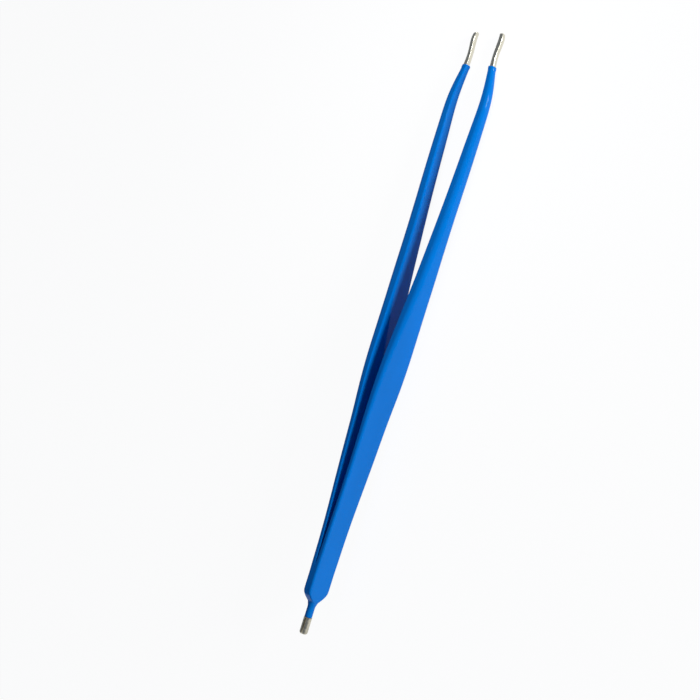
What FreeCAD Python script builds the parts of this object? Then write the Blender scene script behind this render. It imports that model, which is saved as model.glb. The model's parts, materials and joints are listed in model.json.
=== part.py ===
# Monopolar diathermy forceps: two spring blades, a split connector pin and an insulating coat.
#
# The pieces are drawn about the instrument's own axis: +X runs from the end of the pin to the tips,
# +Y is the way in which the left blade opens, and Z runs across the width of the blades. Then all of
# them are laid on the table together, as the forceps comes to rest on the narrow edges of its blades.
import FreeCAD, Part

import math
import os

import Sketcher

V = FreeCAD.Vector

# Driving dimensions, in millimetres and degrees.
PIN_SIZES = [
    ("pin_wide", 4.0, "diameter of the bare connector pin"),
    ("pin_long", 8.3, "bare length of the pin, from its end to the coat"),
    ("pin_nose", 1.1, "rounding of the pin's end"),
    ("slot_wide", 0.8, "width of the saw cut that splits the pin"),
    ("slot_long", 7.9, "depth of the saw cut from the pin's end"),
    ("slot_turn", 15.0, "turn of the saw cut from the plane of the blades"),
    ("neck_wide", 2.8, "diameter of the pin's neck under the coat"),
    ("neck_long", 7.2, "length of the neck, from the bare pin to the heel"),
    ("tang_thick", 1.0, "thickness of the flat tang between the blades"),
    ("tang_wide", 7.0, "width of the tang"),
]
HEEL_SIZES = [
    ("heel_wide", 12.5, "width of a blade at its heel"),
    ("heel_thick", 1.5, "thickness of a blade at its heel"),
    ("heel_long", 15.0, "length of the heel, from the neck to the end of the tang"),
    ("blade_set", 1.0, "how far a blade's end stands in from the start of the heel"),
    ("shoulder_round", 4.0, "radius of the coated heel's shoulders"),
    ("flare_long", 1.6, "length over which the coated neck flares to the heel"),
]
SKIN_SIZES = [
    ("coat_thick", 0.4, "thickness of the insulating coat"),
    ("outer_round", 0.45, "rounding of the outer long edges, as a share of the thickness there"),
    ("inner_round", 0.25, "rounding of the inner long edges, as a share of the thickness there"),
    ("nose_round", 0.58, "radius of a tip's end in plan, as a share of its width"),
]

# A blade's stations in order, from the end of the tang to the tip: the length of the stretch that
# ends there, the blade's width and thickness, and how far its inner face stands from mid-plane.
STATIONS = [
    ("flex", 18.5, 12.4, 1.4, 1.10),
    ("spring", 22.0, 13.2, 1.3, 2.15),
    ("palm", 27.0, 14.7, 1.8, 2.85),
    ("swell", 19.0, 16.0, 2.4, 3.25),
    ("grip", 17.0, 15.9, 3.1, 3.80),
    ("waist", 19.0, 13.3, 3.9, 4.40),
    ("arm", 22.0, 9.9, 4.8, 5.25),
    ("slope", 20.0, 7.6, 5.1, 5.95),
    ("fore", 21.0, 6.2, 4.8, 7.00),
    ("reach", 22.0, 5.4, 4.4, 8.00),
    ("bend", 20.0, 4.4, 3.8, 8.85),
    ("elbow", 11.0, 3.8, 3.3, 8.85),
    ("throat", 9.0, 2.9, 2.6, 7.75),
    ("bare", 5.0, 2.5, 2.2, 7.10),
    ("jaw", 7.5, 2.4, 2.0, 6.95),
    ("tip", 9.0, 2.1, 1.6, 7.00),
]
LAST_COATED = "bare"

# A chamfer with equal sides runs at this angle, in degrees.
CHAMFER_ANGLE = 45.0

# The lean of the forceps on the table is looked for below this angle, to within this step.
STEEPEST_LEAN = 10.0
LEAN_STEP = 0.0001

doc = FreeCAD.newDocument("forceps")
sheet = doc.addObject("Spreadsheet::Sheet", "Sizes")


def station_sizes():
    """The stations' sizes as rows of alias, value and note."""
    rows = []
    for name, long, wide, thick, gap in STATIONS:
        rows.append((name + "_long", long, "length of the blade's stretch that ends at the " + name))
        rows.append((name + "_wide", wide, "width of the blade at the " + name))
        rows.append((name + "_thick", thick, "thickness of the blade at the " + name))
        rows.append((name + "_gap", gap, "inner face from mid-plane at the " + name))
    return rows


def fill_sheet():
    rows = PIN_SIZES + HEEL_SIZES + SKIN_SIZES + station_sizes()
    for row, (alias, value, note) in enumerate(rows, start=1):
        sheet.set("A%d" % row, alias)
        sheet.set("B%d" % row, str(value))
        sheet.setAlias("B%d" % row, alias)
        sheet.set("C%d" % row, note)
    doc.recompute()


def size(alias):
    return float(sheet.get(alias))


def cell(alias):
    return "Sizes." + alias


# Places along the instrument's axis, as expressions on the sheet.
HEEL_START = "(Sizes.pin_long + Sizes.neck_long)"
LAP_END = "(" + HEEL_START + " + Sizes.heel_long)"
COAT_BACK = "(Sizes.neck_wide / 2 + Sizes.coat_thick)"
HALF_HEEL = "(Sizes.tang_thick / 2 + Sizes.heel_thick + Sizes.coat_thick)"


def place_of(station):
    """Where a station lies along the axis, as an expression."""
    terms = [LAP_END]
    for name, *_ in STATIONS:
        terms.append(cell(name + "_long"))
        if name == station:
            break
    return " + ".join(terms)


def place_value(station):
    """Where a station lies along the axis, in millimetres."""
    place = size("pin_long") + size("neck_long") + size("heel_long")
    for name, *_ in STATIONS:
        place += size(name + "_long")
        if name == station:
            break
    return place


def new_body(label):
    body = doc.addObject("PartDesign::Body", label)
    body.Label = label
    return body


def origin_plane(body, role):
    for item in body.Origin.OriginFeatures:
        if item.Role == role:
            return item
    raise ValueError("no plane " + role)


def new_sketch(body, name, role, offset="0"):
    """A sketch on an origin plane of the body, moved along the plane's normal."""
    sketch = body.newObject("Sketcher::SketchObject", name)
    sketch.AttachmentSupport = (origin_plane(body, role), [""])
    sketch.MapMode = "FlatFace"
    sketch.setExpression("AttachmentOffset.Base.z", offset)
    return sketch


def bind(sketch, kind, items, value, expression):
    """A driving dimension in a sketch, bound to the sheet."""
    index = sketch.addConstraint(Sketcher.Constraint(kind, *items, value))
    sketch.setExpression("Constraints[%d]" % index, expression)


def line(sketch, ax, ay, bx, by):
    return sketch.addGeometry(Part.LineSegment(V(ax, ay, 0), V(bx, by, 0)), False)


def arc(sketch, cx, cy, radius, start, end):
    circle = Part.Circle(V(cx, cy, 0), V(0, 0, 1), radius)
    return sketch.addGeometry(Part.ArcOfCircle(circle, math.radians(start), math.radians(end)), False)


def join(sketch, kind, first, second):
    """The end of one piece of outline meets the start of the next."""
    sketch.addConstraint(Sketcher.Constraint(kind, first, 2, second, 1))


def section(body, name, place, wide, thick, gap):
    """A blade's cross-section: flat inside, rounder outside. Sizes are (value, expression)."""
    sketch = new_sketch(body, name, "YZ_Plane", place)
    half = wide[0] / 2
    near = gap[0]
    far = gap[0] + thick[0]
    outer = size("outer_round") * thick[0]
    inner = size("inner_round") * thick[0]
    bottom = line(sketch, near + inner, -half, far - outer, -half)
    low_outer = arc(sketch, far - outer, outer - half, outer, 270, 360)
    outside = line(sketch, far, outer - half, far, half - outer)
    high_outer = arc(sketch, far - outer, half - outer, outer, 0, 90)
    top = line(sketch, far - outer, half, near + inner, half)
    high_inner = arc(sketch, near + inner, half - inner, inner, 90, 180)
    inside = line(sketch, near, half - inner, near, inner - half)
    low_inner = arc(sketch, near + inner, inner - half, inner, 180, 270)
    loop = [bottom, low_outer, outside, high_outer, top, high_inner, inside, low_inner]
    for first, second in zip(loop, loop[1:] + loop[:1]):
        join(sketch, "Tangent", first, second)
    for flat in (bottom, top):
        sketch.addConstraint(Sketcher.Constraint("Horizontal", flat))
    for upright in (outside, inside):
        sketch.addConstraint(Sketcher.Constraint("Vertical", upright))
    sketch.addConstraint(Sketcher.Constraint("Equal", low_outer, high_outer))
    sketch.addConstraint(Sketcher.Constraint("Equal", low_inner, high_inner))
    bind(sketch, "Radius", (high_outer,), outer, "Sizes.outer_round * (" + thick[1] + ")")
    bind(sketch, "Radius", (high_inner,), inner, "Sizes.inner_round * (" + thick[1] + ")")
    bind(sketch, "DistanceX", (-1, 1, inside, 1), near, gap[1])
    bind(sketch, "DistanceX", (inside, 1, outside, 1), thick[0], thick[1])
    bind(sketch, "DistanceY", (-1, 1, top, 1), half, "(" + wide[1] + ") / 2")
    bind(sketch, "DistanceY", (bottom, 1, -1, 1), half, "(" + wide[1] + ") / 2")
    return sketch


def loft_sections(body, prefix, coat, stations):
    """Sections at the end of the tang and at each station, grown by the coat where there is one."""
    grow = 2 * size("coat_thick") if coat else 0.0
    grow_cell = " + 2 * Sizes.coat_thick" if coat else ""
    back = size("coat_thick") if coat else 0.0
    back_cell = " - Sizes.coat_thick" if coat else ""
    sketches = [
        section(
            body, prefix + "_lap", LAP_END,
            (size("heel_wide") + grow, cell("heel_wide") + grow_cell),
            (size("heel_thick") + grow, cell("heel_thick") + grow_cell),
            (size("tang_thick") / 2 - back, "Sizes.tang_thick / 2" + back_cell),
        )
    ]
    for name in stations:
        sketches.append(
            section(
                body, prefix + "_" + name, place_of(name),
                (size(name + "_wide") + grow, cell(name + "_wide") + grow_cell),
                (size(name + "_thick") + grow, cell(name + "_thick") + grow_cell),
                (size(name + "_gap") - back, cell(name + "_gap") + back_cell),
            )
        )
    return sketches


def add_loft(body, name, sketches):
    loft = body.newObject("PartDesign::AdditiveLoft", name)
    loft.Profile = sketches[0]
    loft.Sections = sketches[1:]
    loft.Ruled = False
    doc.recompute()
    return loft


def rectangle(body, name, start, end, half, offset):
    """A rectangle about the axis, seen across the blades' width. Sizes are (value, expression)."""
    sketch = new_sketch(body, name, "XZ_Plane", offset)
    bottom = line(sketch, start[0], -half[0], end[0], -half[0])
    front = line(sketch, end[0], -half[0], end[0], half[0])
    top = line(sketch, end[0], half[0], start[0], half[0])
    rear = line(sketch, start[0], half[0], start[0], -half[0])
    loop = [bottom, front, top, rear]
    for first, second in zip(loop, loop[1:] + loop[:1]):
        join(sketch, "Coincident", first, second)
    for flat in (bottom, top):
        sketch.addConstraint(Sketcher.Constraint("Horizontal", flat))
    for upright in (front, rear):
        sketch.addConstraint(Sketcher.Constraint("Vertical", upright))
    bind(sketch, "DistanceX", (-1, 1, rear, 1), start[0], start[1])
    bind(sketch, "DistanceX", (-1, 1, front, 1), end[0], end[1])
    bind(sketch, "DistanceY", (-1, 1, top, 1), half[0], half[1])
    bind(sketch, "DistanceY", (bottom, 1, -1, 1), half[0], half[1])
    return sketch


def edges_where(feature, test):
    """Names of the feature's edges whose two end points both pass the test."""
    names = []
    for index, edge in enumerate(feature.Shape.Edges, start=1):
        ends = [vertex.Point for vertex in edge.Vertexes]
        if len(ends) == 2 and all(test(point) for point in ends):
            names.append("Edge%d" % index)
    if not names:
        raise ValueError("no edge of " + feature.Name + " passes")
    return names


def near(value, target):
    return abs(value - target) < 1e-4


def corner_edges(feature, x, half):
    """The two edges across the thickness at x, one on each side of the axis."""
    upper = edges_where(feature, lambda p: near(p.x, x) and near(p.z, half))
    lower = edges_where(feature, lambda p: near(p.x, x) and near(p.z, -half))
    return upper + lower


def dress(body, kind, name, base, edges, property_name, expression):
    """A chamfer or fillet on named edges, with its size bound to the sheet."""
    feature = body.newObject("PartDesign::" + kind, name)
    feature.Base = (base, edges)
    feature.setExpression(property_name, expression)
    doc.recompute()
    return feature


def heel_plate(body, prefix, start, end, half, bottom, thick, corner, shoulder):
    """A flat heel with sloping rear shoulders. bottom is its inner face from mid-plane."""
    sketch = rectangle(body, prefix + "_outline", start, end, half, "-(" + bottom[1] + ")")
    pad = body.newObject("PartDesign::Pad", prefix + "_plate")
    pad.Profile = sketch
    pad.Reversed = True
    pad.setExpression("Length", thick[1])
    doc.recompute()
    rear = corner_edges(pad, start[0], half[0])
    slope = dress(body, "Chamfer", prefix + "_slope", pad, rear, "Size", corner[1])
    knee = corner_edges(slope, start[0] + corner[0], half[0])
    return dress(body, "Fillet", prefix + "_shoulder", slope, knee, "Radius", shoulder)


def blade_heel_sizes():
    start = (
        size("pin_long") + size("neck_long") + size("blade_set"),
        HEEL_START + " + Sizes.blade_set",
    )
    end = (size("pin_long") + size("neck_long") + size("heel_long"), LAP_END)
    half = (size("heel_wide") / 2, "Sizes.heel_wide / 2")
    inset = math.tan(math.radians(CHAMFER_ANGLE / 2))
    corner = (
        half[0] - size("neck_wide") / 2 - size("blade_set") + size("coat_thick") * inset,
        "Sizes.heel_wide / 2 - Sizes.neck_wide / 2 - Sizes.blade_set + Sizes.coat_thick * %r" % inset,
    )
    return start, end, half, corner


def round_nose(body):
    """The plan of the tip: everything beyond a round end is cut away."""
    tip = place_value("tip")
    reach = size("tip_wide")
    radius = size("nose_round") * reach
    centre = tip - radius
    sketch = new_sketch(body, "nose_outline", "XZ_Plane")
    top = line(sketch, centre, reach, tip + reach, reach)
    front = line(sketch, tip + reach, reach, tip + reach, -reach)
    bottom = line(sketch, tip + reach, -reach, centre, -reach)
    low = line(sketch, centre, -reach, centre, -radius)
    nose = arc(sketch, centre, 0, radius, 270, 90)
    high = line(sketch, centre, radius, centre, reach)
    for first, second in ((top, front), (front, bottom), (bottom, low), (low, nose), (nose, high)):
        join(sketch, "Coincident", first, second)
    join(sketch, "Coincident", high, top)
    for flat in (top, bottom):
        sketch.addConstraint(Sketcher.Constraint("Horizontal", flat))
    for upright in (front, low, high):
        sketch.addConstraint(Sketcher.Constraint("Vertical", upright))
    sketch.addConstraint(Sketcher.Constraint("PointOnObject", nose, 3, -1))
    sketch.addConstraint(Sketcher.Constraint("Vertical", nose, 3, nose, 1))
    rounding = "Sizes.nose_round * Sizes.tip_wide"
    bind(sketch, "Radius", (nose,), radius, rounding)
    bind(sketch, "DistanceX", (-1, 1, nose, 3), centre, place_of("tip") + " - " + rounding)
    bind(sketch, "DistanceX", (nose, 3, front, 1), reach + radius, "Sizes.tip_wide + " + rounding)
    bind(sketch, "DistanceY", (-1, 1, top, 1), reach, "Sizes.tip_wide")
    bind(sketch, "DistanceY", (bottom, 2, -1, 1), reach, "Sizes.tip_wide")
    doc.recompute()
    before = body.Shape.Volume
    cut = body.newObject("PartDesign::Pocket", "nose")
    cut.Profile = sketch
    cut.setExpression("Length", "Sizes.tip_gap + 2 * Sizes.tip_thick")
    doc.recompute()
    if not body.Shape.Volume < before:
        raise ValueError("the nose cut removed nothing")


def make_blade():
    """One forged blade: flat heel, thin spring, wide grip, slender arm, two bends and bare tip."""
    body = new_body("left_blade")
    start, end, half, corner = blade_heel_sizes()
    bottom = (size("tang_thick") / 2, "Sizes.tang_thick / 2")
    thick = (size("heel_thick"), "Sizes.heel_thick")
    shoulder = "Sizes.shoulder_round - Sizes.coat_thick"
    heel_plate(body, "heel", start, end, half, bottom, thick, corner, shoulder)
    names = [row[0] for row in STATIONS]
    add_loft(body, "arm", loft_sections(body, "steel", False, names))
    round_nose(body)
    return body


def make_coat_outside():
    """The outside of one half of the coat: half of the heel up to mid-plane, and its arm."""
    body = new_body("coat_outside")
    start = (size("pin_long") + size("neck_long"), HEEL_START)
    lap = size("pin_long") + size("neck_long") + size("heel_long")
    end = (lap, LAP_END)
    half = (size("heel_wide") / 2 + size("coat_thick"), "Sizes.heel_wide / 2 + Sizes.coat_thick")
    thick = (size("tang_thick") / 2 + size("heel_thick") + size("coat_thick"), HALF_HEEL)
    corner = (
        half[0] - size("neck_wide") / 2 - size("coat_thick"),
        "Sizes.heel_wide / 2 + Sizes.coat_thick - " + COAT_BACK,
    )
    plate = heel_plate(
        body, "heel", start, end, half, (0.0, "0 mm"), thick, corner, "Sizes.shoulder_round"
    )
    rim = edges_where(plate, lambda p: near(p.y, thick[0]))
    face_front = edges_where(plate, lambda p: near(p.y, thick[0]) and near(p.x, end[0]))
    rim = [name for name in rim if name not in face_front]
    rounding = "Sizes.outer_round * (Sizes.heel_thick + 2 * Sizes.coat_thick)"
    dress(body, "Fillet", "heel_rim", plate, rim, "Radius", rounding)
    names = [row[0] for row in STATIONS]
    names = names[: names.index(LAST_COATED) + 1]
    add_loft(body, "sleeve", loft_sections(body, "coat", True, names))

    root = (lap - size("coat_thick"), LAP_END + " - Sizes.coat_thick")
    brow = (lap + size("coat_thick"), LAP_END + " + Sizes.coat_thick")
    flank = (size("tang_wide") / 2 + size("coat_thick"), "Sizes.tang_wide / 2 + Sizes.coat_thick")
    web = body.newObject("PartDesign::Pad", "web")
    web.Profile = rectangle(body, "web_outline", root, brow, flank, "0 mm")
    web.Reversed = True
    web.setExpression("Length", "(Sizes.tang_thick + Sizes.heel_thick) / 2")
    doc.recompute()
    return body


def make_pin():
    """The connector: a flat tang, a turned neck and pin, and a saw cut along the pin."""
    body = new_body("connector_pin")
    radius = size("pin_wide") / 2
    nose = size("pin_nose")
    bare = size("pin_long")
    slim = size("neck_wide") / 2
    heel = bare + size("neck_long")

    front = (heel + size("heel_long"), LAP_END)
    half = (size("tang_wide") / 2, "Sizes.tang_wide / 2")
    flat_outline = rectangle(body, "tang_outline", (heel, HEEL_START), front, half, "0 mm")
    tang = body.newObject("PartDesign::Pad", "tang")
    tang.Profile = flat_outline
    tang.Midplane = True
    tang.setExpression("Length", "Sizes.tang_thick")
    doc.recompute()
    slope = "Sizes.tang_wide / 2 - Sizes.neck_wide / 2 + Sizes.tang_thick / 4"
    dress(body, "Chamfer", "tang_slope", tang, corner_edges(tang, heel, half[0]), "Size", slope)

    root = heel + size("blade_set") / 2
    sketch = new_sketch(body, "turned_outline", "XZ_Plane")
    face = line(sketch, 0, 0, 0, radius - nose)
    corner = arc(sketch, nose, radius - nose, nose, 90, 180)
    side = line(sketch, nose, radius, bare, radius)
    step = line(sketch, bare, radius, bare, slim)
    neck = line(sketch, bare, slim, root, slim)
    end = line(sketch, root, slim, root, 0)
    axis = line(sketch, root, 0, 0, 0)
    sketch.addConstraint(Sketcher.Constraint("Tangent", face, 2, corner, 2))
    sketch.addConstraint(Sketcher.Constraint("Tangent", corner, 1, side, 1))
    for first, second in ((side, step), (step, neck), (neck, end), (end, axis), (axis, face)):
        join(sketch, "Coincident", first, second)
    for flat in (side, neck, axis):
        sketch.addConstraint(Sketcher.Constraint("Horizontal", flat))
    for upright in (face, step, end):
        sketch.addConstraint(Sketcher.Constraint("Vertical", upright))
    sketch.addConstraint(Sketcher.Constraint("Coincident", face, 1, -1, 1))
    bind(sketch, "Radius", (corner,), nose, "Sizes.pin_nose")
    bind(sketch, "DistanceY", (-1, 1, side, 1), radius, "Sizes.pin_wide / 2")
    bind(sketch, "DistanceX", (-1, 1, step, 1), bare, "Sizes.pin_long")
    bind(sketch, "DistanceY", (-1, 1, neck, 1), slim, "Sizes.neck_wide / 2")
    bind(sketch, "DistanceX", (-1, 1, end, 1), root, HEEL_START + " + Sizes.blade_set / 2")
    turned = body.newObject("PartDesign::Revolution", "turned")
    turned.Profile = sketch
    turned.ReferenceAxis = (sketch, ["H_Axis"])
    turned.Angle = 360
    doc.recompute()

    saw = new_sketch(body, "saw_outline", "YZ_Plane")
    saw.setExpression("AttachmentOffset.Rotation.Angle", "Sizes.slot_turn")
    cut_half = size("slot_wide") / 2
    reach = size("pin_wide")
    right = line(saw, cut_half, -reach, cut_half, reach)
    top = line(saw, cut_half, reach, -cut_half, reach)
    left = line(saw, -cut_half, reach, -cut_half, -reach)
    bottom = line(saw, -cut_half, -reach, cut_half, -reach)
    for first, second in ((right, top), (top, left), (left, bottom), (bottom, right)):
        join(saw, "Coincident", first, second)
    for upright in (right, left):
        saw.addConstraint(Sketcher.Constraint("Vertical", upright))
    for flat in (top, bottom):
        saw.addConstraint(Sketcher.Constraint("Horizontal", flat))
    bind(saw, "DistanceX", (-1, 1, right, 1), cut_half, "Sizes.slot_wide / 2")
    bind(saw, "DistanceX", (left, 1, -1, 1), cut_half, "Sizes.slot_wide / 2")
    bind(saw, "DistanceY", (-1, 1, top, 1), reach, "Sizes.pin_wide")
    bind(saw, "DistanceY", (bottom, 1, -1, 1), reach, "Sizes.pin_wide")
    before = body.Shape.Volume
    slot = body.newObject("PartDesign::Pocket", "slot")
    slot.Profile = saw
    slot.Reversed = True
    slot.setExpression("Length", "Sizes.slot_long")
    doc.recompute()
    if not body.Shape.Volume < before:
        raise ValueError("the saw cut removed nothing")
    return body


def cut_away(label, base, tools):
    """The base with each tool taken out of it, as one sub-part."""
    for number, tool in enumerate(tools, start=1):
        last = number == len(tools)
        cut = doc.addObject("Part::Cut", label if last else "%s_step_%d" % (label, number))
        cut.Base = base
        cut.Tool = tool
        base = cut
    base.Label = label
    doc.recompute()
    return base


def make_neck_coat(pin, pose):
    """The sleeve of coat round the pin's neck, flared to the thickness of the heel."""
    sleeve = doc.addObject("Part::Cylinder", "neck_sleeve")
    sleeve.setExpression("Radius", COAT_BACK)
    sleeve.setExpression("Height", "Sizes.neck_long")
    flare = doc.addObject("Part::Cone", "neck_flare")
    flare.setExpression("Radius1", COAT_BACK)
    flare.setExpression("Radius2", HALF_HEEL)
    flare.setExpression("Height", "Sizes.flare_long")
    along = FreeCAD.Rotation(V(0, 1, 0), 90)
    heel = size("pin_long") + size("neck_long")
    sleeve.Placement = pose.multiply(FreeCAD.Placement(V(size("pin_long"), 0, 0), along))
    flare.Placement = pose.multiply(FreeCAD.Placement(V(heel - size("flare_long"), 0, 0), along))
    whole = doc.addObject("Part::Fuse", "neck_outside")
    whole.Base = sleeve
    whole.Tool = flare
    return cut_away("neck_insulation", whole, [pin])


def mirror(label, source):
    """The right-hand twin of a left-hand piece, across mid-plane."""
    twin = doc.addObject("Part::Mirroring", label)
    twin.Label = label
    twin.Source = source
    twin.Normal = V(0, 1, 0)
    twin.Base = V(0, 0, 0)
    return twin


def resting_pose(blade, coat):
    """How the forceps lies on a table: leaned, tips down, until its centre of mass is lowest."""
    centre = blade.Shape.CenterOfGravity.x
    points = blade.Shape.tessellate(0.02)[0] + coat.Shape.tessellate(0.02)[0]

    def height(lean):
        return max((p.x - centre) * math.sin(lean) - p.z * math.cos(lean) for p in points)

    low, high = 0.0, math.radians(STEEPEST_LEAN)
    while high - low > math.radians(LEAN_STEP):
        third = (high - low) / 3
        if height(low + third) < height(high - third):
            high -= third
        else:
            low += third
    lean = (low + high) / 2
    ends = place_value("tip") * math.cos(lean)
    lift = height(lean) + centre * math.sin(lean)
    turn = FreeCAD.Rotation(V(0, 1, 0), math.degrees(lean))
    return FreeCAD.Placement(V(-ends / 2, 0, lift), turn)


def check_document():
    for item in doc.Objects:
        if "Invalid" in item.State or "Error" in item.State:
            raise ValueError(item.Name + " failed: " + ", ".join(item.State))


def write_parts(parts):
    os.makedirs("parts", exist_ok=True)
    for part in parts:
        if part.Shape.isNull() or not part.Shape.isValid() or len(part.Shape.Solids) != 1:
            raise ValueError(part.Label + " is not one valid solid")
        part.Shape.exportStep(os.path.join("parts", part.Label + ".step"))
        print(part.Label, "volume", round(part.Shape.Volume, 1), "mm3")


def main():
    fill_sheet()
    left_blade = make_blade()
    outside = make_coat_outside()
    pin = make_pin()
    pose = resting_pose(left_blade, outside)
    for body in (left_blade, outside, pin):
        body.Placement = pose
    doc.recompute()
    left_coat = cut_away("left_insulation", outside, [left_blade, pin])
    neck_coat = make_neck_coat(pin, pose)
    right_blade = mirror("right_blade", left_blade)
    right_coat = mirror("right_insulation", left_coat)
    doc.recompute()
    check_document()
    print("rest tilt", round(math.degrees(pose.Rotation.Angle), 4), "degrees, pose", pose.Base)
    write_parts([pin, left_blade, right_blade, neck_coat, left_coat, right_coat])


main()
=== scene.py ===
"""Dresses the monopolar diathermy forceps: glossy coat, bare steel tips, split pin and studio."""

import json
import math

import bmesh
import bpy
import numpy as np
from mathutils import Matrix, Vector


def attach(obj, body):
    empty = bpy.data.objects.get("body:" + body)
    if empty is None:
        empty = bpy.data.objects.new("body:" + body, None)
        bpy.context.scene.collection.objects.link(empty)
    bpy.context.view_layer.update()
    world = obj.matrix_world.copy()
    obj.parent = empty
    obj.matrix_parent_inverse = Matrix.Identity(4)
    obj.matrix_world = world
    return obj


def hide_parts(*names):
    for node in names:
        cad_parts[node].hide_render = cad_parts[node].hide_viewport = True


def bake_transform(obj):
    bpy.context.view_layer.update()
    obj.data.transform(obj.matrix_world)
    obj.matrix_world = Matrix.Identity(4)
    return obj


bl_info = {
    "name": "Diathermy Forceps Looks",
    "version": (1, 0, 0),
    "blender": (4, 5, 0),
    "location": "View3D > Sidebar > Forceps",
    "description": "Coat, bare steel, connector pin and studio for a pair of diathermy forceps",
    "category": "Object",
}

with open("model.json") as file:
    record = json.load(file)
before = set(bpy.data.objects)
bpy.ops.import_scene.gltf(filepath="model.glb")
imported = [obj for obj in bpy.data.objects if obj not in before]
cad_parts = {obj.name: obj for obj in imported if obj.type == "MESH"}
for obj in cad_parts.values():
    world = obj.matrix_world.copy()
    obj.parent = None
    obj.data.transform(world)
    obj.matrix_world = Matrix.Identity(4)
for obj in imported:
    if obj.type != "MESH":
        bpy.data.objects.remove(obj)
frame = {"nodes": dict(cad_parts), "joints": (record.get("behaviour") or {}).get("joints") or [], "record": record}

MM = 0.001


def cad_points(node):
    """The corners of a CAD node's mesh as rows of three coordinates, in metres."""
    mesh = frame["nodes"][node].data
    points = np.empty(len(mesh.vertices) * 3)
    mesh.vertices.foreach_get("co", points)
    return points.reshape(-1, 3)


# The instrument's own axes: FORWARD from pin to tips, SIDE to the left blade, UP off the table.
PIN_MOUNT = frame["record"]["mounts"][0]
FORWARD = -Vector(PIN_MOUNT["axis"]).normalized()
SIDE = Vector((0, 1, 0))
UP = FORWARD.cross(SIDE)
PIN_RADIUS = PIN_MOUNT["dims"]["r_mm"] * MM
ALONG = np.array(FORWARD)
PIN_REACH = (cad_points("connector_pin") - np.array(PIN_MOUNT["pos_m"])) @ ALONG
REAR = Vector(PIN_MOUNT["pos_m"]) + FORWARD * float(PIN_REACH.min())
HINGE = Vector(frame["joints"][0]["pos_m"])

# Where the elbows and the heel lie along the instrument.
ELBOW = 266 * MM
HEEL = 20 * MM

# Each lamp: its setting, the place it lights, its offset from there, its width and height in metres
# and whether glossy surfaces mirror it. Only the key light is seen in the coat and the steel, where
# the other two would draw white stripes that the photo doesn't have.
LAMPS = (
    ("key", ELBOW, (0.45, -1.1, 0.2), (0.18, 0.36), True),
    ("overhead", ELBOW, (0.02, 0, 0.17), (0.15, 0.15), False),
    ("rear", HEEL, (-0.6, -0.25, 0.08), (0.2, 0.14), False),
)

# Half the floor's width in metres.
FLOOR_HALF = 3.0

# Points on a rounded long edge, and where a flat side carries points between two such edges.
CORNER_STEPS = 6
FLAT_SHARES = (0.07, 0.5, 0.93)

# Where the rings of the coat's rims and of the blades' noses lie, as angles over a quarter turn.
RIM_TURNS = tuple(math.radians(angle) for angle in range(15, 105, 15))
NOSE_TURNS = tuple(math.radians(angle) for angle in range(8, 88, 8))

# How much of the bead's swelling is left where the rim of the coat starts.
BEAD_AT_RIM = 0.6

# The least rounding of an edge, and how near a point must be to count as on a plane.
LEAST_ROUND = 0.05 * MM
NEAR = 1e-6

# The stretch at a blade's nose where its rings stand closer, and how far the inner face follows the
# rounding of the nose.
NOSE_LONG = 1.5 * MM
INNER_NOSE = 0.6

# The tang's width at its rear end as a share of its width in front.
TANG_TAPER = 0.35

# A blade has the edges of its bare tip up to the first distance from its nose, and the rounder
# ones that it has under the coat from the second on.
TIP_EDGES = 21 * MM
COATED_EDGES = 26 * MM

# Steps round the turned pin, and on the quarter turn of its nose.
PIN_STEPS = 64
PIN_NOSE_STEPS = 8

# The stretch of a noise's values that its colours and roughness follow.
NOISE_LOW = 0.3
NOISE_HIGH = 0.7


def place(x, y, z):
    """A point given along the instrument's own axes from the end of the pin."""
    return REAR + FORWARD * x + SIDE * y + UP * z


def along(point):
    """How far forward of the pin's end a point lies."""
    return (Vector(point) - REAR).dot(FORWARD)


def reach_of(node):
    """Where a CAD node starts and ends along the instrument."""
    spots = (cad_points(node) - np.array(REAR)) @ ALONG
    return float(spots.min()), float(spots.max())


def sections(node, side, places):
    """Inner face, outer face, bottom and top of a CAD node at each place, mirrored to the left."""
    mesh = frame["nodes"][node].data
    points = cad_points(node) - np.array(REAR)
    axes = np.array([ALONG, np.array(SIDE) * side, np.array(UP)])
    points = points @ axes.T
    edges = np.empty(len(mesh.edges) * 2, dtype=int)
    mesh.edges.foreach_get("vertices", edges)
    starts, ends = points[edges.reshape(-1, 2).T]
    rows = []
    for x in places:
        crossing = (starts[:, 0] - x) * (ends[:, 0] - x) < 0
        a = starts[crossing]
        b = ends[crossing]
        share = ((x - a[:, 0]) / (b[:, 0] - a[:, 0]))[:, None]
        cut = a + (b - a) * share
        rows.append((cut[:, 1].min(), cut[:, 1].max(), cut[:, 2].min(), cut[:, 2].max()))
    return np.array(rows)


class Profile:
    """The sections of one or two CAD nodes, read off at any place with the facets smoothed away."""

    def __init__(self, nodes, side, step):
        self.places = np.empty(0)
        self.rows = np.empty((0, 4))
        for node in nodes:
            start, end = reach_of(node)
            count = max(int((end - start) / step), 2)
            places = start + (end - start) * (np.arange(count) + 0.5) / count
            self.places = np.append(self.places, places)
            self.rows = np.vstack((self.rows, sections(node, side, places)))

    def at(self, x, spread):
        """The section at x, from a straight line through its neighbours within about spread."""
        offsets = self.places - x
        weights = np.exp(-0.25 * (offsets / spread) ** 2)
        close = weights > 1e-4
        lines = np.polyfit(offsets[close], self.rows[close], 1, w=weights[close])
        return lines[1]


def corner_turns(first):
    """Angles of a rounded corner's points over a quarter turn."""
    return [first + math.pi / 2 * step / CORNER_STEPS for step in range(CORNER_STEPS + 1)]


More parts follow.
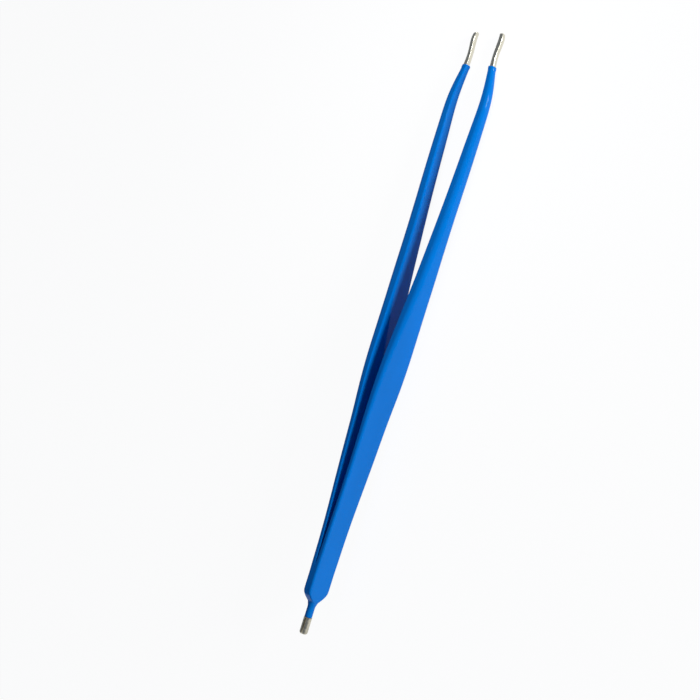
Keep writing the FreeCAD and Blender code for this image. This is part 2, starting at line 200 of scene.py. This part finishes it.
def outline(section, inner_round, outer_round):
    """A rounded rectangle as (side, up) points, counter-clockwise from the outer face."""
    inner, outer, bottom, top = section
    half = (top - bottom) / 2
    room = outer - inner
    outer_round = min(outer_round, half * 0.99, room * 0.9)
    inner_round = min(inner_round, half * 0.99, room - outer_round - NEAR)
    corners = (
        (outer - outer_round, top - outer_round, outer_round, 0),
        (inner + inner_round, top - inner_round, inner_round, math.pi / 2),
        (inner + inner_round, bottom + inner_round, inner_round, math.pi),
        (outer - outer_round, bottom + outer_round, outer_round, 3 * math.pi / 2),
    )
    arcs = []
    for side, up, radius, first in corners:
        arcs.append(
            [
                Vector((side + radius * math.cos(turn), up + radius * math.sin(turn)))
                for turn in corner_turns(first)
            ]
        )
    # Each arc is followed by the flat side's points up to the next arc.
    points = []
    for arc, following in zip(arcs, arcs[1:] + arcs[:1]):
        points += arc
        for share in FLAT_SHARES:
            points.append(arc[-1].lerp(following[0], share))
    return points


def loft(rings, side):
    """A closed skin through rings of (x, points), drawn on the left and mirrored for the right."""
    bm = bmesh.new()
    x, points = rings[0]
    made = bmesh.ops.create_circle(bm, segments=len(points), radius=MM)
    ring = list(made["verts"])
    set_ring(ring, x, points, side)
    for x, points in rings[1:]:
        ring = next_ring(bm, ring)
        set_ring(ring, x, points, side)
    bmesh.ops.holes_fill(bm, edges=[edge for edge in bm.edges if edge.is_boundary], sides=0)
    bmesh.ops.recalc_face_normals(bm, faces=bm.faces)
    return bm


def set_ring(ring, x, points, side):
    """Moves a ring's corners onto the outline of the section at x."""
    for vert, point in zip(ring, points):
        vert.co = place(x, point.x * side, point.y)


def next_ring(bm, ring):
    """Extrudes the last ring and returns its copy in the same order."""
    edges = [bm.edges.get(pair) for pair in zip(ring, ring[1:] + ring[:1])]
    made = bmesh.ops.extrude_edge_only(bm, edges=edges)
    fresh = {item for item in made["geom"] if isinstance(item, bmesh.types.BMVert)}
    following = []
    for vert in ring:
        partner = next(e.other_vert(vert) for e in vert.link_edges if e.other_vert(vert) in fresh)
        following.append(partner)
    return following


def finish_piece(bm, name, material, sharp_degrees):
    """Turns a finished bmesh into an object with smooth sides and crisp edges."""
    for face in bm.faces:
        face.smooth = True
    for edge in bm.edges:
        edge.smooth = edge.calc_face_angle(0) < math.radians(sharp_degrees)
    mesh = bpy.data.meshes.new(name)
    bm.to_mesh(mesh)
    bm.free()
    piece = bpy.data.objects.new(name, mesh)
    bpy.context.scene.collection.objects.link(piece)
    mesh.materials.append(material)
    return piece


def bend_with_arm(piece):
    """Bakes the piece's placement into its mesh."""
    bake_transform(piece)


class ShaderSheet:
    """A small helper that adds and joins the nodes of one material."""

    def __init__(self, name):
        self.material = bpy.data.materials.new(name)
        self.material.use_nodes = True
        self.tree = self.material.node_tree
        self.shader = self.tree.nodes["Principled BSDF"]
        self.coords = self.add("ShaderNodeTexCoord").outputs["Object"]

    def add(self, kind):
        """A new node of that kind."""
        return self.tree.nodes.new(kind)

    def join(self, source, target):
        """Joins one node's output to another's input."""
        self.tree.links.new(source, target)

    def lengthwise(self, factor):
        """Coordinates along the instrument, with a pattern's scale along it times factor."""
        mapping = self.add("ShaderNodeMapping")
        mapping.inputs["Rotation"].default_value = (0, math.atan2(FORWARD.z, FORWARD.x), 0)
        mapping.inputs["Scale"].default_value = (factor, 1, 1)
        self.join(self.coords, mapping.inputs["Vector"])
        return mapping.outputs["Vector"]

    def noise(self, grain, detail=2.0, coords=None):
        """Noise whose largest spots are about grain metres across."""
        node = self.add("ShaderNodeTexNoise")
        node.inputs["Scale"].default_value = 1 / grain
        node.inputs["Detail"].default_value = detail
        self.join(coords or self.coords, node.inputs["Vector"])
        return node.outputs["Fac"]

    def spread(self, value, low, high):
        """Maps a noise value onto a range of numbers."""
        node = self.add("ShaderNodeMapRange")
        node.inputs["From Min"].default_value = NOISE_LOW
        node.inputs["From Max"].default_value = NOISE_HIGH
        node.inputs["To Min"].default_value = low
        node.inputs["To Max"].default_value = high
        self.join(value, node.inputs["Value"])
        return node.outputs["Result"]

    def shades(self, value, colour, dark, light):
        """A colour that follows a noise value, from dark times itself to light times itself."""
        node = self.add("ShaderNodeValToRGB")
        stops = ((NOISE_LOW, dark), (NOISE_HIGH, light))
        for element, (spot, factor) in zip(node.color_ramp.elements, stops):
            element.position = spot
            element.color = (*scaled(colour, factor), 1)
        self.join(value, node.inputs["Fac"])
        return node.outputs["Color"]

    def bump(self, height, depth, below=None):
        """Relief of a real depth in metres, on top of another relief where one is given."""
        node = self.add("ShaderNodeBump")
        node.inputs["Strength"].default_value = 1
        node.inputs["Distance"].default_value = depth
        self.join(height, node.inputs["Height"])
        if below is not None:
            self.join(below, node.inputs["Normal"])
        return node.outputs["Normal"]

    def set(self, socket, value):
        """Gives the shader's input a plain value."""
        self.shader.inputs[socket].default_value = value


def scaled(colour, factor):
    """A colour made darker or lighter, with no channel above 1."""
    return tuple(min(channel * factor, 1) for channel in colour)


def coat_material(settings):
    """Smooth nylon coat: faint drift in colour and gloss, with soft waves from the dipping bath."""
    sheet = ShaderSheet("coat_nylon")
    drift = sheet.noise(18 * MM, coords=sheet.lengthwise(0.4))
    tint = sheet.shades(drift, settings.colour, 0.93, 1.05)
    sheet.join(tint, sheet.shader.inputs["Base Color"])
    gloss = sheet.noise(6 * MM)
    gloss_range = sheet.spread(gloss, settings.roughness * 0.85, settings.roughness * 1.2)
    sheet.join(gloss_range, sheet.shader.inputs["Roughness"])
    waves = sheet.bump(sheet.noise(9 * MM, coords=sheet.lengthwise(0.5)), 0.03 * MM)
    peel = sheet.bump(sheet.noise(0.9 * MM, detail=1.0), 0.0012 * MM, below=waves)
    sheet.join(peel, sheet.shader.inputs["Normal"])
    sheet.set("Specular IOR Level", settings.shine)
    sheet.set("IOR", 1.5)
    return sheet.material


def blade_material(settings):
    """Ground stainless steel: long fine scratches, a warm tint and duller smudges."""
    sheet = ShaderSheet("blade_steel")
    grain = sheet.noise(0.22 * MM, detail=3.0, coords=sheet.lengthwise(0.03))
    smudge = sheet.noise(2.4 * MM)
    tint = sheet.shades(grain, settings.colour, 0.85, 1.1)
    sheet.join(tint, sheet.shader.inputs["Base Color"])
    sheet.join(sheet.spread(smudge, 0.28, 0.4), sheet.shader.inputs["Roughness"])
    sheet.join(sheet.bump(grain, 0.0008 * MM), sheet.shader.inputs["Normal"])
    sheet.set("Metallic", 1.0)
    return sheet.material


def pin_material(settings):
    """Dull turned metal: fine rings left by the lathe, and darker smudges."""
    sheet = ShaderSheet("pin_metal")
    rings = sheet.noise(0.35 * MM, detail=2.0, coords=sheet.lengthwise(8.0))
    smudge = sheet.noise(1.6 * MM)
    tint = sheet.shades(smudge, settings.colour, 0.75, 1.15)
    sheet.join(tint, sheet.shader.inputs["Base Color"])
    sheet.join(sheet.spread(smudge, 0.3, 0.48), sheet.shader.inputs["Roughness"])
    sheet.join(sheet.bump(rings, 0.004 * MM), sheet.shader.inputs["Normal"])
    sheet.set("Metallic", 1.0)
    return sheet.material


class CoatSettings(bpy.types.PropertyGroup):
    """The insulating coat."""

    colour: bpy.props.FloatVectorProperty(
        name="Colour",
        description="Colour of the coat",
        subtype="COLOR",
        default=(0.0, 0.195, 0.69),
        min=0,
        max=1,
    )
    roughness: bpy.props.FloatProperty(
        name="Roughness",
        description="Micro-roughness of the coat's surface",
        default=0.08,
        min=0,
        max=1,
    )
    shine: bpy.props.FloatProperty(
        name="Shine",
        description="Strength of the coat's clear reflection",
        default=0.09,
        min=0,
        max=1,
    )
    outer_round: bpy.props.FloatProperty(
        name="Outer rounding",
        description="Rounding of the outer long edges as a share of the thickness",
        default=0.46,
        min=0.05,
        max=0.6,
    )
    heel_round: bpy.props.FloatProperty(
        name="Heel rounding",
        description="Rounding of the heel's long edges as a share of half its thickness",
        default=0.36,
        min=0.05,
        max=0.9,
    )
    inner_round: bpy.props.FloatProperty(
        name="Inner rounding",
        description="Rounding of the inner long edges as a share of the thickness",
        default=0.15,
        min=0.02,
        max=0.4,
    )
    bead: bpy.props.FloatProperty(
        name="Bead",
        description="Swelling of the coat just before its end",
        default=0.12 * MM,
        unit="LENGTH",
    )
    rim: bpy.props.FloatProperty(
        name="Rim",
        description="Rounding of the coat's end",
        default=0.36 * MM,
        unit="LENGTH",
    )
    flex_back: bpy.props.FloatProperty(
        name="Flex start",
        description="How far behind the hinge the coat starts to bend",
        default=5.4 * MM,
        unit="LENGTH",
    )
    flex_front: bpy.props.FloatProperty(
        name="Flex end",
        description="How far ahead of the hinge the coat moves with its arm",
        default=35 * MM,
        unit="LENGTH",
    )


class BladeSettings(bpy.types.PropertyGroup):
    """The steel blades, bare at their tips."""

    colour: bpy.props.FloatVectorProperty(
        name="Colour",
        description="Colour of the bare steel",
        subtype="COLOR",
        default=(0.7, 0.67, 0.56),
        min=0,
        max=1,
    )
    outer_round: bpy.props.FloatProperty(
        name="Outer rounding",
        description="Rounding of the outer long edges under the coat, as a share of the thickness",
        default=0.36,
        min=0.05,
        max=0.6,
    )
    tip_round: bpy.props.FloatProperty(
        name="Tip rounding",
        description="Rounding of the bare tip's outer long edges as a share of the thickness",
        default=0.26,
        min=0.05,
        max=0.6,
    )
    inner_round: bpy.props.FloatProperty(
        name="Inner rounding",
        description="Rounding of the inner long edges as a share of the thickness",
        default=0.12,
        min=0.02,
        max=0.4,
    )
    nose_round: bpy.props.FloatProperty(
        name="Nose rounding",
        description="Rounding of the tip across its thickness",
        default=0.5 * MM,
        unit="LENGTH",
    )


class PinSettings(bpy.types.PropertyGroup):
    """The split connector pin."""

    colour: bpy.props.FloatVectorProperty(
        name="Colour",
        description="Colour of the pin's metal",
        subtype="COLOR",
        default=(0.55, 0.52, 0.42),
        min=0,
        max=1,
    )
    nose: bpy.props.FloatProperty(
        name="Nose",
        description="Rounding of the pin's end",
        default=1.1 * MM,
        unit="LENGTH",
    )
    slot_wide: bpy.props.FloatProperty(
        name="Saw cut width",
        description="Width of the saw cut that splits the pin",
        default=0.8 * MM,
        unit="LENGTH",
    )
    slot_long: bpy.props.FloatProperty(
        name="Saw cut depth",
        description="Depth of the saw cut from the pin's end",
        default=7.9 * MM,
        unit="LENGTH",
    )
    slot_turn: bpy.props.FloatProperty(
        name="Saw cut turn",
        description="Turn of the saw cut from the plane of the blades",
        default=math.radians(15),
        unit="ROTATION",
    )
    edge: bpy.props.FloatProperty(
        name="Edge",
        description="Softening of the pin's sawn edges",
        default=0.07 * MM,
        unit="LENGTH",
    )


class StageSettings(bpy.types.PropertyGroup):
    """The studio round the forceps."""

    look_down: bpy.props.FloatProperty(
        name="Look down",
        description="Angle of the camera above the blades' outer face",
        default=math.radians(47),
        unit="ROTATION",
    )
    lean: bpy.props.FloatProperty(
        name="Lean",
        description="Lean of the forceps from upright in the picture",
        default=math.radians(17.27),
        unit="ROTATION",
    )
    distance: bpy.props.FloatProperty(
        name="Distance",
        description="Distance of the camera from the instrument's axis",
        default=565 * MM,
        unit="LENGTH",
    )
    centre_along: bpy.props.FloatProperty(
        name="Centre along",
        description="Where the picture's centre falls along the instrument",
        default=135.6 * MM,
        unit="LENGTH",
    )
    centre_across: bpy.props.FloatProperty(
        name="Centre across",
        description="How far the picture's centre lies to the right of the instrument's axis",
        default=-18.7 * MM,
        unit="LENGTH",
    )
    focal: bpy.props.FloatProperty(
        name="Focal length",
        description="Focal length of the camera for its sensor",
        default=61.05,
        min=10,
    )
    floor_white: bpy.props.FloatProperty(
        name="Floor whiteness",
        description="Share of plain white in the floor as the camera sees it",
        default=0.85,
        min=0,
        max=1,
    )
    floor_glow: bpy.props.FloatProperty(
        name="Floor glow",
        description="Strength of that plain white, which makes up for the unlit share",
        default=1.1,
    )
    key: bpy.props.FloatProperty(
        name="Key light",
        description="Power of the low light on the near side, in watts",
        default=11.8,
    )
    overhead: bpy.props.FloatProperty(
        name="Overhead light",
        description="Power of the light above the elbows, in watts",
        default=0.12,
    )
    rear: bpy.props.FloatProperty(
        name="Rear light",
        description="Power of the low light behind the heel, in watts",
        default=1.1,
    )
    fill: bpy.props.FloatProperty(
        name="Fill",
        description="Strength of the even light from all round",
        default=0.14,
    )
    sky: bpy.props.FloatVectorProperty(
        name="Sky",
        description="Colour of the even light from all round",
        subtype="COLOR",
        default=(0.5, 0.68, 1.0),
        min=0,
        max=1,
    )
    sky_seen: bpy.props.FloatProperty(
        name="Sky in metal",
        description="Share of the white background above the floor that metal shows",
        default=0.18,
        min=0,
        max=1,
    )


def coat_spread(x, start, end):
    """How far the coat's sections are smoothed: little at the heel and the end, more between."""
    fine = 0.5 * MM
    broad = 2.2 * MM
    from_heel = min(max((x - start - 12 * MM) / (40 * MM), 0), 1)
    from_end = min(max((end - x) / (12 * MM), 0), 1)
    return fine + (broad - fine) * min(from_heel, from_end)


def spaced(start, end, step):
    """Even places from start to end, no further apart than step."""
    count = max(int(math.ceil((end - start) / step)), 1)
    return [start + (end - start) * number / count for number in range(count + 1)]


def eased(value, start, end):
    """0 before start, 1 after end and a smooth rise between."""
    share = min(max((value - start) / (end - start), 0), 1)
    return share * share * (3 - 2 * share)


def shrunk(section, inset):
    """A section made smaller by inset on all four sides."""
    inner, outer, bottom, top = section
    return inner + inset, outer - inset, bottom + inset, top - inset


def coat_rings(side, settings):
    """Rings of one half of the coat, from its rim round the pin to its rim round the bare tip."""
    insulation = "left_insulation" if side > 0 else "right_insulation"
    neck_start, heel = reach_of("neck_insulation")
    end = reach_of(insulation)[1]
    lap = along(HINGE)
    profile = Profile(("neck_insulation", insulation), side, 0.25 * MM)
    neck_half = sections("neck_insulation", side, [neck_start + MM])[0][3]
    # The rings stand closer where the form turns: at the heel, where the halves part, at the end.
    places = spaced(neck_start + settings.rim, heel - MM, 0.6 * MM)
    places += spaced(heel - 0.8 * MM, heel + 8 * MM, 0.25 * MM)
    places += spaced(heel + 8.6 * MM, lap - 2 * MM, 1.2 * MM)
    places += spaced(lap - 1.5 * MM, lap + 8 * MM, 0.5 * MM)
    places += spaced(lap + 9 * MM, end - 3 * MM, 1.5 * MM)
    places += spaced(end - 2.8 * MM, end - settings.rim, 0.3 * MM)
    rings = []
    for x in places:
        section = list(profile.at(x, coat_spread(x, neck_start, end)))
        thick = section[1] - max(section[0], 0)
        # Round on the neck and flat from the heel on; one skin up to the lap and two arms after it.
        roundness = 1 - eased(x, heel - 0.5 * MM, heel + 3 * MM)
        split = eased(x, lap, lap + 7 * MM)
        section[0] = section[0] * split if x > lap - 2 * MM else 0
        fullness = 1 - eased(x, lap, lap + 55 * MM)
        share = settings.outer_round + (settings.heel_round - settings.outer_round) * fullness
        outer_round = share * thick * (1 - roundness) + neck_half * roundness
        inner_round = settings.inner_round * thick * split
        swell = settings.bead * eased(x, end - 2.2 * MM, end - 0.9 * MM)
        swell *= 1 - (1 - BEAD_AT_RIM) * eased(x, end - 0.8 * MM, end - settings.rim)
        section = shrunk(section, -swell)
        rings.append((x, outline(section, inner_round, outer_round)))
    return rim_rings(rings, profile, neck_start, end, neck_half, settings)


def rim_rings(rings, profile, start, end, neck_half, settings):
    """Adds the rounded rims at both ends of the coat, which close on the metal inside."""
    rim = settings.rim
    front = profile.at(end - rim, 0.5 * MM)
    swell = settings.bead * BEAD_AT_RIM
    for turn in RIM_TURNS:
        x = end - rim + rim * math.sin(turn)
        inset = rim * (1 - math.cos(turn)) - swell * math.cos(turn)
        section = shrunk(front, inset)
        thick = front[1] - front[0]
        inner_round = max(settings.inner_round * thick - max(inset, 0), LEAST_ROUND)
        outer_round = max(settings.outer_round * thick - max(inset, 0), LEAST_ROUND)
        rings.append((x, outline(section, inner_round, outer_round)))
    for turn in RIM_TURNS:
        x = start + rim - rim * math.sin(turn)
        half = neck_half - rim * (1 - math.cos(turn))
        section = (0, half, -half, half)
        rings.insert(0, (x, outline(section, 0, half)))
    return rings


def blade_rings(side, settings):
    """Rings of one blade, from its heel under the coat to its rounded tip."""
    node = "left_blade" if side > 0 else "right_blade"
    start, end = reach_of(node)
    profile = Profile((node,), side, 0.1 * MM)
    nose = settings.nose_round
    places = spaced(start + 0.05 * MM, start + 8 * MM, 0.5 * MM)
    places += spaced(start + 9 * MM, end - 20 * MM, 2 * MM)
    places += spaced(end - 19.5 * MM, end - 1.6 * MM, 0.5 * MM)
    places += [end - NOSE_LONG * (1 - math.sin(turn)) for turn in NOSE_TURNS]
    rings = []
    for x in places:
        from_nose = end - x
        spread = 0.08 * MM + 1.2 * MM * eased(from_nose, 1.4 * MM, 8 * MM)
        section = list(profile.at(x, spread))
        thick = section[1] - section[0]
        if from_nose < nose:
            inset = nose - math.sqrt(nose**2 - (nose - from_nose) ** 2)
            section[0] += inset * INNER_NOSE
            section[1] -= inset
        bare = 1 - eased(from_nose, TIP_EDGES, COATED_EDGES)
        share = settings.outer_round + (settings.tip_round - settings.outer_round) * bare
        rounds = (settings.inner_round * thick, share * thick)
        rings.append((x, outline(section, *rounds)))
    return rings


def lathe(points, turns):
    """A shape turned about the instrument's axis from (along, radius) points."""
    bm = bmesh.new()
    verts = [bm.verts.new(place(x, radius, 0)) for x, radius in points]
    edges = [bm.edges.new(pair) for pair in zip(verts, verts[1:])]
    bmesh.ops.spin(
        bm,
        geom=verts + edges,
        cent=REAR,
        axis=FORWARD,
        angle=2 * math.pi,
        steps=turns,
        use_merge=True,
    )
    bmesh.ops.remove_doubles(bm, verts=bm.verts, dist=0.001 * MM)
    bmesh.ops.recalc_face_normals(bm, faces=bm.faces)
    return bm


def saw_slot(bm, settings):
    """Cuts the split into the turned pin: two flat walls, a flat bottom and softened edges."""
    turn = Matrix.Rotation(settings.slot_turn, 3, FORWARD)
    across = turn @ SIDE
    half = settings.slot_wide / 2
    depth = settings.slot_long
    planes = (
        (REAR + across * half, across),
        (REAR - across * half, across),
        (REAR + FORWARD * depth, FORWARD),
    )
    for spot, normal in planes:
        geometry = list(bm.verts) + list(bm.edges) + list(bm.faces)
        bmesh.ops.bisect_plane(bm, geom=geometry, plane_co=spot, plane_no=normal, dist=1e-7)
    loose = []
    for face in bm.faces:
        middle = face.calc_center_median()
        inside = abs((middle - REAR).dot(across)) < half
        if inside and (middle - REAR).dot(FORWARD) < depth:
            loose.append(face)
    bmesh.ops.delete(bm, geom=loose, context="FACES")
    rim = [edge for edge in bm.edges if edge.is_boundary]
    closings = []
    for sign in (1, -1):
        wall = [edge for edge in rim if edge_at(edge, across, sign * half)]
        ends = open_ends(wall)
        closing = bm.edges.new(ends)
        bmesh.ops.contextual_create(bm, geom=wall + [closing])
        closings.append(closing)
    floor = [edge for edge in rim if edge_at(edge, FORWARD, depth)]
    bmesh.ops.contextual_create(bm, geom=floor + closings)
    bmesh.ops.recalc_face_normals(bm, faces=bm.faces)
    sawn = [edge for edge in rim if edge.is_valid]
    bmesh.ops.bevel(
        bm,
        geom=sawn,
        offset=settings.edge,
        segments=3,
        affect="EDGES",
        profile=0.5,
        material=-1,
        clamp_overlap=True,
    )


def edge_at(edge, direction, distance):
    """Whether both ends of an edge lie at that distance from the pin's end along direction."""
    return all(abs((vert.co - REAR).dot(direction) - distance) < NEAR for vert in edge.verts)


def open_ends(edges):
    """The two end points of a chain of edges."""
    uses = {}
    for edge in edges:
        for vert in edge.verts:
            uses[vert] = uses.get(vert, 0) + 1
    return [vert for vert, count in uses.items() if count == 1]


def pin_outline(settings, shoulder, neck_end, neck_radius):
    """The pin's turned outline: rounded nose, bare pin, step down and neck."""
    nose = settings.nose
    points = [(0, 0), (0, PIN_RADIUS - nose)]
    for number in range(1, PIN_NOSE_STEPS + 1):
        turn = math.pi / 2 * number / PIN_NOSE_STEPS
        spot = (nose - nose * math.cos(turn), PIN_RADIUS - nose + nose * math.sin(turn))
        points.append(spot)
    points += [(shoulder, PIN_RADIUS), (shoulder, neck_radius)]
    points += [(neck_end, neck_radius), (neck_end, 0)]
    return points


def add_tang(bm, start, end, half_wide, half_thick):
    """The flat tang between the blades, hidden under the coat."""
    made = bmesh.ops.create_cube(bm, size=1)
    long = end - start
    for vert in made["verts"]:
        x, y, z = vert.co
        wide = half_wide * (TANG_TAPER if x < 0 else 1)
        vert.co = place(start + long * (x + 0.5), y * 2 * half_thick, z * 2 * wide)
    bmesh.ops.recalc_face_normals(bm, faces=bm.faces)


class PieceOperator:
    """What every operator that makes pieces has in common."""

    bl_options = {"REGISTER", "UNDO"}

    def execute(self, context):
        made = self.build(context.scene)
        if not made:
            raise RuntimeError(self.bl_label + " made nothing")
        return {"FINISHED"}


class FORCEPS_OT_coat(PieceOperator, bpy.types.Operator):
    """Draw both halves of the insulating coat over the heel and the arms"""

    bl_idname = "forceps.coat"
    bl_label = "Insulating Coat"

    def build(self, scene):
        settings = scene.forceps_coat
        material = coat_material(settings)
        made = []
        for name, side in (("left_coat", 1), ("right_coat", -1)):
            bm = loft(coat_rings(side, settings), side)
            piece = finish_piece(bm, name, material, sharp_degrees=60)
            bend_with_arm(piece)
            half = "left_insulation" if side > 0 else "right_insulation"
            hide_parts(half, "neck_insulation")
            made.append(piece)
        return made


class FORCEPS_OT_blades(PieceOperator, bpy.types.Operator):
    """Draw both steel blades, which show at the bare tips"""

    bl_idname = "forceps.blades"
    bl_label = "Steel Blades"

    def build(self, scene):
        settings = scene.forceps_blades
        material = blade_material(settings)
        made = []
        for name, side in (("left_steel", 1), ("right_steel", -1)):
            bm = loft(blade_rings(side, settings), side)
            piece = finish_piece(bm, name, material, sharp_degrees=50)
            bend_with_arm(piece)
            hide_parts("left_blade" if side > 0 else "right_blade")
            made.append(piece)
        return made


class FORCEPS_OT_pin(PieceOperator, bpy.types.Operator):
    """Turn the connector pin, saw its split and add its tang"""

    bl_idname = "forceps.pin"
    bl_label = "Connector Pin"

    def build(self, scene):
        settings = scene.forceps_pin
        shoulder, heel = reach_of("neck_insulation")
        end = reach_of("connector_pin")[1]
        neck = sections("connector_pin", 1, [(shoulder + heel) / 2])[0]
        tang = sections("connector_pin", 1, [end - MM])[0]
        bm = lathe(pin_outline(settings, shoulder, heel + 0.5 * MM, neck[3]), PIN_STEPS)
        saw_slot(bm, settings)
        add_tang(bm, heel, end, tang[3], tang[1])
        piece = finish_piece(bm, "pin_metal", pin_material(settings), sharp_degrees=35)
        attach(piece, "connector")
        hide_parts("connector_pin")
        return [piece]


def stage_plane(name, half, material):
    """A flat square at table height."""
    bm = bmesh.new()
    bmesh.ops.create_grid(bm, x_segments=1, y_segments=1, size=half)
    mesh = bpy.data.meshes.new(name)
    bm.to_mesh(mesh)
    bm.free()
    mesh.materials.append(material)
    plane = bpy.data.objects.new(name, mesh)
    bpy.context.scene.collection.objects.link(plane)
    return plane


def combined(tree, operation, first, second):
    """A Math node's result for two inputs, each an output socket or a number."""
    node = tree.nodes.new("ShaderNodeMath")
    node.operation = operation
    for socket, value in zip(node.inputs, (first, second)):
        if isinstance(value, bpy.types.NodeSocket):
            tree.links.new(value, socket)
        else:
            socket.default_value = value
    return node.outputs["Value"]


def seen_directly(tree, mirrored=1.0):
    """1 for rays from the camera, mirrored for what metal or glass shows, else 0."""
    path = tree.nodes.new("ShaderNodeLightPath")
    shown = combined(
        tree, "MAXIMUM", path.outputs["Is Glossy Ray"], path.outputs["Is Transmission Ray"]
    )
    share = combined(tree, "MULTIPLY", shown, mirrored)
    return combined(tree, "MAXIMUM", path.outputs["Is Camera Ray"], share)


def floor_material(settings):
    """A pale floor that looks nearly white and still carries the object's shadow."""
    material = bpy.data.materials.new("floor_white")
    material.use_nodes = True
    tree = material.node_tree
    tree.nodes.clear()
    matt = tree.nodes.new("ShaderNodeBsdfDiffuse")
    matt.inputs["Color"].default_value = (0.8, 0.8, 0.8, 1)
    glow = tree.nodes.new("ShaderNodeEmission")
    glow.inputs["Strength"].default_value = settings.floor_glow
    share = combined(tree, "MULTIPLY", seen_directly(tree), settings.floor_white)
    mix = tree.nodes.new("ShaderNodeMixShader")
    tree.links.new(share, mix.inputs["Fac"])
    tree.links.new(matt.outputs["BSDF"], mix.inputs[1])
    tree.links.new(glow.outputs["Emission"], mix.inputs[2])
    out = tree.nodes.new("ShaderNodeOutputMaterial")
    tree.links.new(mix.outputs["Shader"], out.inputs["Surface"])
    return material


def studio_world(settings):
    """Even light from all round, which the camera sees as white and metal as a pale sky."""
    world = bpy.data.worlds.new("studio_world")
    world.use_nodes = True
    tree = world.node_tree
    tree.nodes.clear()
    even = tree.nodes.new("ShaderNodeBackground")
    even.inputs["Color"].default_value = (*settings.sky, 1)
    even.inputs["Strength"].default_value = settings.fill
    white = tree.nodes.new("ShaderNodeBackground")
    mix = tree.nodes.new("ShaderNodeMixShader")
    tree.links.new(seen_directly(tree, settings.sky_seen), mix.inputs["Fac"])
    tree.links.new(even.outputs["Background"], mix.inputs[1])
    tree.links.new(white.outputs["Background"], mix.inputs[2])
    out = tree.nodes.new("ShaderNodeOutputWorld")
    tree.links.new(mix.outputs["Shader"], out.inputs["Surface"])
    bpy.context.scene.world = world
    return world


def add_lamp(name, target, offset, size):
    """A soft rectangular lamp that stands off from a point and is aimed at it."""
    data = bpy.data.lights.new(name, "AREA")
    data.shape = "RECTANGLE"
    data.size, data.size_y = size
    lamp = bpy.data.objects.new(name, data)
    lamp.location = target + Vector(offset)
    lamp.rotation_mode = "QUATERNION"
    lamp.rotation_quaternion = (target - lamp.location).to_track_quat("-Z", "Y")
    bpy.context.scene.collection.objects.link(lamp)
    return lamp


def add_camera(settings):
    """The photograph's viewpoint, stated along the instrument's own axes."""
    angle = settings.look_down
    back = -SIDE * math.cos(angle) + UP * math.sin(angle)
    across = -SIDE * math.sin(angle) - UP * math.cos(angle)
    right = across * math.cos(settings.lean) + FORWARD * math.sin(settings.lean)
    top = -across * math.sin(settings.lean) + FORWARD * math.cos(settings.lean)
    spot = REAR + FORWARD * settings.centre_along
    spot += across * settings.centre_across + back * settings.distance
    data = bpy.data.cameras.new("photo_camera")
    data.lens = settings.focal
    data.sensor_width = 36
    data.clip_start = 0.01
    data.clip_end = 20
    camera = bpy.data.objects.new("photo_camera", data)
    basis = Matrix((right, top, back)).transposed()
    camera.matrix_world = Matrix.Translation(spot) @ basis.to_4x4()
    bpy.context.scene.collection.objects.link(camera)
    bpy.context.scene.camera = camera
    return camera


class FORCEPS_OT_stage(PieceOperator, bpy.types.Operator):
    """Set up the floor, the light and the camera"""

    bl_idname = "forceps.stage"
    bl_label = "Studio"

    def build(self, scene):
        settings = scene.forceps_stage
        floor = stage_plane("floor", FLOOR_HALF, floor_material(settings))
        studio_world(settings)
        for name, spot, offset, size, mirrored in LAMPS:
            lamp = add_lamp(name + "_lamp", place(spot, 0, 0), offset, size)
            lamp.data.energy = getattr(settings, name)
            lamp.visible_glossy = mirrored
        camera = add_camera(settings)
        scene.view_settings.view_transform = "Standard"
        return [floor, camera]


class FORCEPS_PT_panel(bpy.types.Panel):
    """Lists the steps that dress the forceps."""

    bl_idname = "FORCEPS_PT_panel"
    bl_label = "Forceps"
    bl_space_type = "VIEW_3D"
    bl_region_type = "UI"
    bl_category = "Forceps"

    def draw(self, context):
        scene = context.scene
        for group, operator in STEPS:
            box = self.layout.box()
            settings = getattr(scene, group)
            for name in settings.__annotations__:
                box.prop(settings, name)
            box.operator(operator)


STEPS = (
    ("forceps_coat", "forceps.coat"),
    ("forceps_blades", "forceps.blades"),
    ("forceps_pin", "forceps.pin"),
    ("forceps_stage", "forceps.stage"),
)
SETTINGS = (
    ("forceps_coat", CoatSettings),
    ("forceps_blades", BladeSettings),
    ("forceps_pin", PinSettings),
    ("forceps_stage", StageSettings),
)
CLASSES = (
    CoatSettings,
    BladeSettings,
    PinSettings,
    StageSettings,
    FORCEPS_OT_coat,
    FORCEPS_OT_blades,
    FORCEPS_OT_pin,
    FORCEPS_OT_stage,
    FORCEPS_PT_panel,
)


def register():
    for kind in CLASSES:
        bpy.utils.register_class(kind)
    for name, kind in SETTINGS:
        setattr(bpy.types.Scene, name, bpy.props.PointerProperty(type=kind))


def unregister():
    for name, kind in SETTINGS:
        delattr(bpy.types.Scene, name)
    for kind in reversed(CLASSES):
        bpy.utils.unregister_class(kind)


def main():
    register()
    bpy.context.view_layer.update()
    bpy.ops.forceps.coat()
    bpy.ops.forceps.blades()
    bpy.ops.forceps.pin()
    bpy.ops.forceps.stage()


if __name__ == "__main__":
    main()
